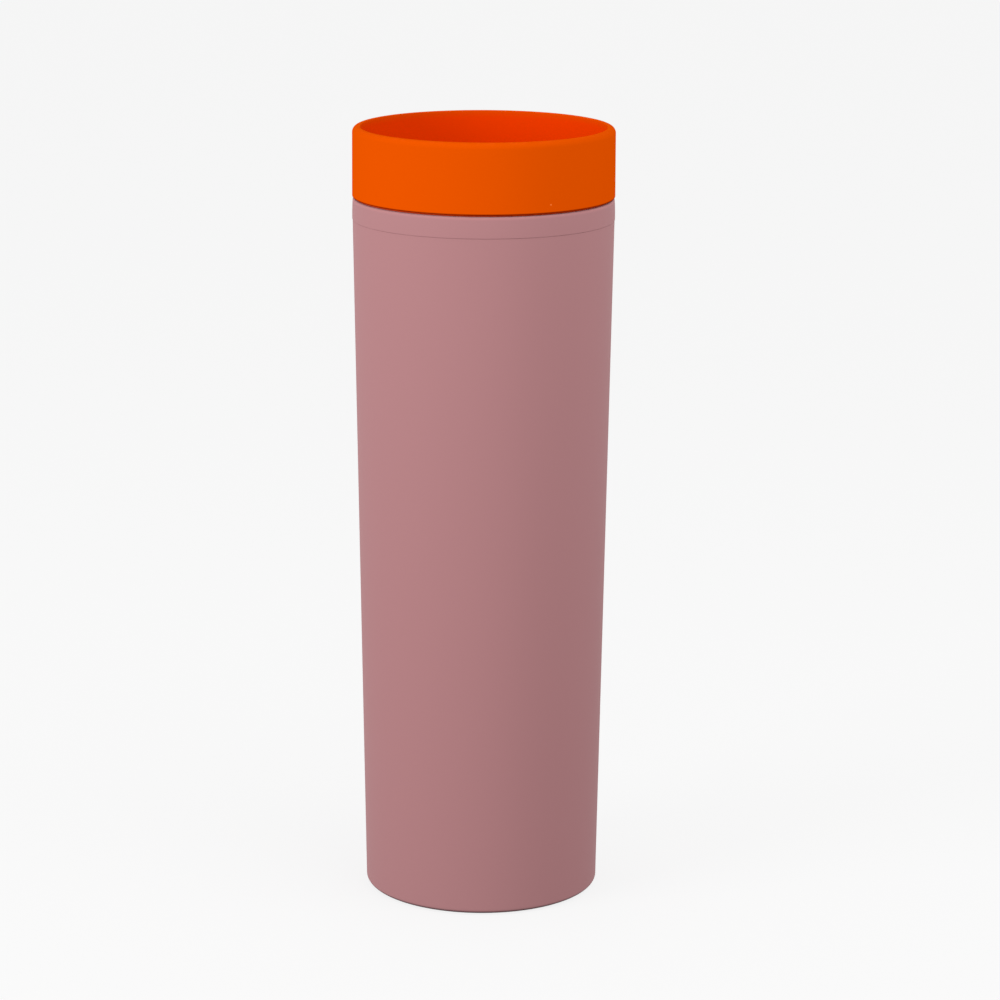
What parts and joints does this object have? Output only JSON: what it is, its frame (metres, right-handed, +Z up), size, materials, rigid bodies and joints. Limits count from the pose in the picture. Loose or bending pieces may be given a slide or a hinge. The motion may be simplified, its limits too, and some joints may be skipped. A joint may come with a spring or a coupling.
{
  "type": "insulated drinks tumbler",
  "caption": "Tall tapered double-walled drinks tumbler with a screw-on ring lid, sunk lid floor and stoppered straw hole.",
  "frame": {"origin": "centre of the foot's underside, on the surface that the tumbler stands on", "axes": "+Z up along the cup's axis; the thread is right-handed about +Z; the stopper's tab lies along X; the vent hole is on the +Y side"},
  "size_m": [0.0724, 0.0724, 0.2163],
  "materials": {
    "body_plastic": "soft matte, dusty pink",
    "foot_rubber": "matte",
    "liner_plastic": "smooth satin",
    "lid_plastic": "satin orange",
    "lid_silicone": "matte orange"
  },
  "bodies": {
    "cup": {"outer_shell": "body_plastic", "base_cap": "body_plastic", "foot_ring": "foot_rubber", "inner_liner": "liner_plastic", "mouth_ring": "body_plastic"},
    "gasket": {"lid_gasket": "lid_silicone"},
    "lid": {"lid_shell": "lid_plastic", "straw_grommet": "lid_silicone"},
    "stopper": {"straw_stopper": "lid_silicone"}
  },
  "joints": [
    {"name": "lid_lift", "type": "slide", "parent": "cup", "child": "gasket", "axis": [0, 0, 1], "range_m": [0, 0.0121]},
    {"name": "lid_turn", "type": "hinge", "parent": "gasket", "child": "lid", "pos_m": [0, 0, 0.19665], "axis": [0, 0, 1], "range_deg": [0, 360]},
    {"name": "stopper_pull", "type": "slide", "parent": "lid", "child": "stopper", "axis": [0, 0, 1], "range_m": [0, 0.025]}
  ],
  "couplings": [
    {"joint": "lid_lift", "follows": "lid_turn", "m_per_rad": 0.0019099}
  ]
}
